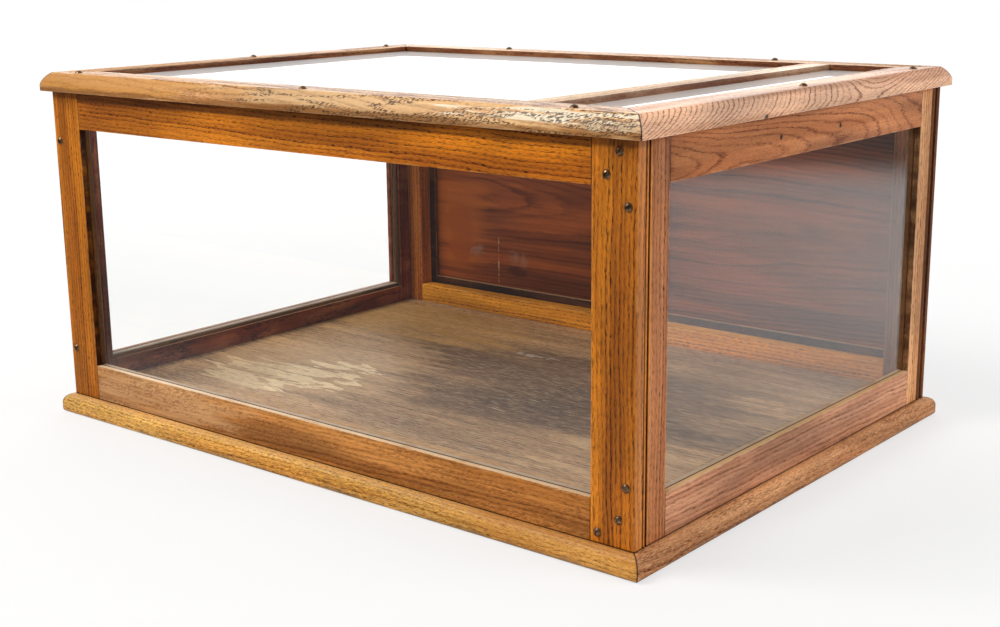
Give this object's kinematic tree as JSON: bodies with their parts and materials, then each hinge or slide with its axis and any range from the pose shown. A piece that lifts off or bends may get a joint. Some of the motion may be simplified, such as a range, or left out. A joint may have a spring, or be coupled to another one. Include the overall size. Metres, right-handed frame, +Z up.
{
  "type": "countertop display case",
  "caption": "Glazed oak countertop display case with a moulded frame top in two panes, a moulded base and panelled rear doors with turn latches.",
  "frame": {"origin": "on the underside of the base, under the middle of the case's whole width and depth, latch knobs included", "axes": "+X along the width, to the right of someone who faces the glazed front; -Y out of the glazed front, so +Y out of the rear doors; +Z up"},
  "size_m": [0.761, 0.5876, 0.3716],
  "materials": {
    "oak_base": "golden oak, worn varnish",
    "oak_floor": "aged oak board, dull",
    "oak_post": "golden oak, worn varnish",
    "oak_front": "golden oak, worn varnish",
    "oak_end": "reddish oak, worn varnish",
    "oak_back": "golden oak, worn varnish",
    "oak_top": "pale worn oak, satin varnish",
    "oak_bead": "golden oak, worn varnish",
    "oak_door": "brown oak, worn varnish",
    "panel_wood": "dark red-brown wood, dull varnish",
    "clear_glass": "clear window glass",
    "bronzed_screw": "bronzed, darkened with age",
    "aged_brass": "brass, dulled with age"
  },
  "bodies": {
    "case": {"base_front_moulding": "oak_base", "base_back_moulding": "oak_base", "base_left_moulding": "oak_base", "base_right_moulding": "oak_base", "floor_board": "oak_floor", "front_left_post": "oak_post", "front_right_post": "oak_post", "front_top_rail": "oak_front", "front_bottom_rail": "oak_front", "left_front_stile": "oak_end", "left_back_stile": "oak_end", "left_top_rail": "oak_end", "left_bottom_rail": "oak_end", "right_front_stile": "oak_end", "right_back_stile": "oak_end", "right_top_rail": "oak_end", "right_bottom_rail": "oak_end", "back_left_stile": "oak_back", "back_right_stile": "oak_back", "back_centre_stile": "oak_back", "back_top_rail": "oak_back", "back_bottom_rail": "oak_back", "top_front_rail": "oak_top", "top_back_rail": "oak_top", "top_left_rail": "oak_top", "top_right_rail": "oak_top", "top_crossbar": "oak_top", "front_glazing_beads": "oak_bead", "end_glazing_beads": "oak_bead", "top_glazing_beads": "oak_bead", "front_glass": "clear_glass", "left_glass": "clear_glass", "right_glass": "clear_glass", "top_large_glass": "clear_glass", "top_narrow_glass": "clear_glass", "case_screws": "bronzed_screw", "joint_screws": "bronzed_screw", "hinge_case_leaves": "aged_brass", "hinge_pins": "aged_brass", "hinge_case_screws": "aged_brass"},
    "left_door": {"left_door_hinge_stile": "oak_door", "left_door_meeting_stile": "oak_door", "left_door_top_rail": "oak_door", "left_door_bottom_rail": "oak_door", "left_door_panel": "panel_wood", "left_door_leaves": "aged_brass", "left_door_screws": "aged_brass", "left_latch_plate": "aged_brass"},
    "right_door": {"right_door_hinge_stile": "oak_door", "right_door_meeting_stile": "oak_door", "right_door_top_rail": "oak_door", "right_door_bottom_rail": "oak_door", "right_door_panel": "panel_wood", "right_door_leaves": "aged_brass", "right_door_screws": "aged_brass", "right_latch_plate": "aged_brass"},
    "left_latch": {"left_latch_knob": "aged_brass", "left_latch_tongue": "aged_brass"},
    "right_latch": {"right_latch_knob": "aged_brass", "right_latch_tongue": "aged_brass"}
  },
  "joints": [
    {"name": "left_door_hinge", "type": "hinge", "parent": "case", "child": "left_door", "pos_m": [-0.352, 0.2637, 0.1835], "axis": [0, 0, 1], "range_deg": [0, 100]},
    {"name": "right_door_hinge", "type": "hinge", "parent": "case", "child": "right_door", "pos_m": [0.352, 0.2637, 0.1835], "axis": [0, 0, -1], "range_deg": [0, 100]},
    {"name": "left_latch_turn", "type": "hinge", "parent": "left_door", "child": "left_latch", "pos_m": [-0.0285, 0.2692, 0.1835], "axis": [0, -1, 0], "range_deg": [0, 90]},
    {"name": "right_latch_turn", "type": "hinge", "parent": "right_door", "child": "right_latch", "pos_m": [0.0285, 0.2692, 0.1835], "axis": [0, 1, 0], "range_deg": [0, 90]}
  ]
}
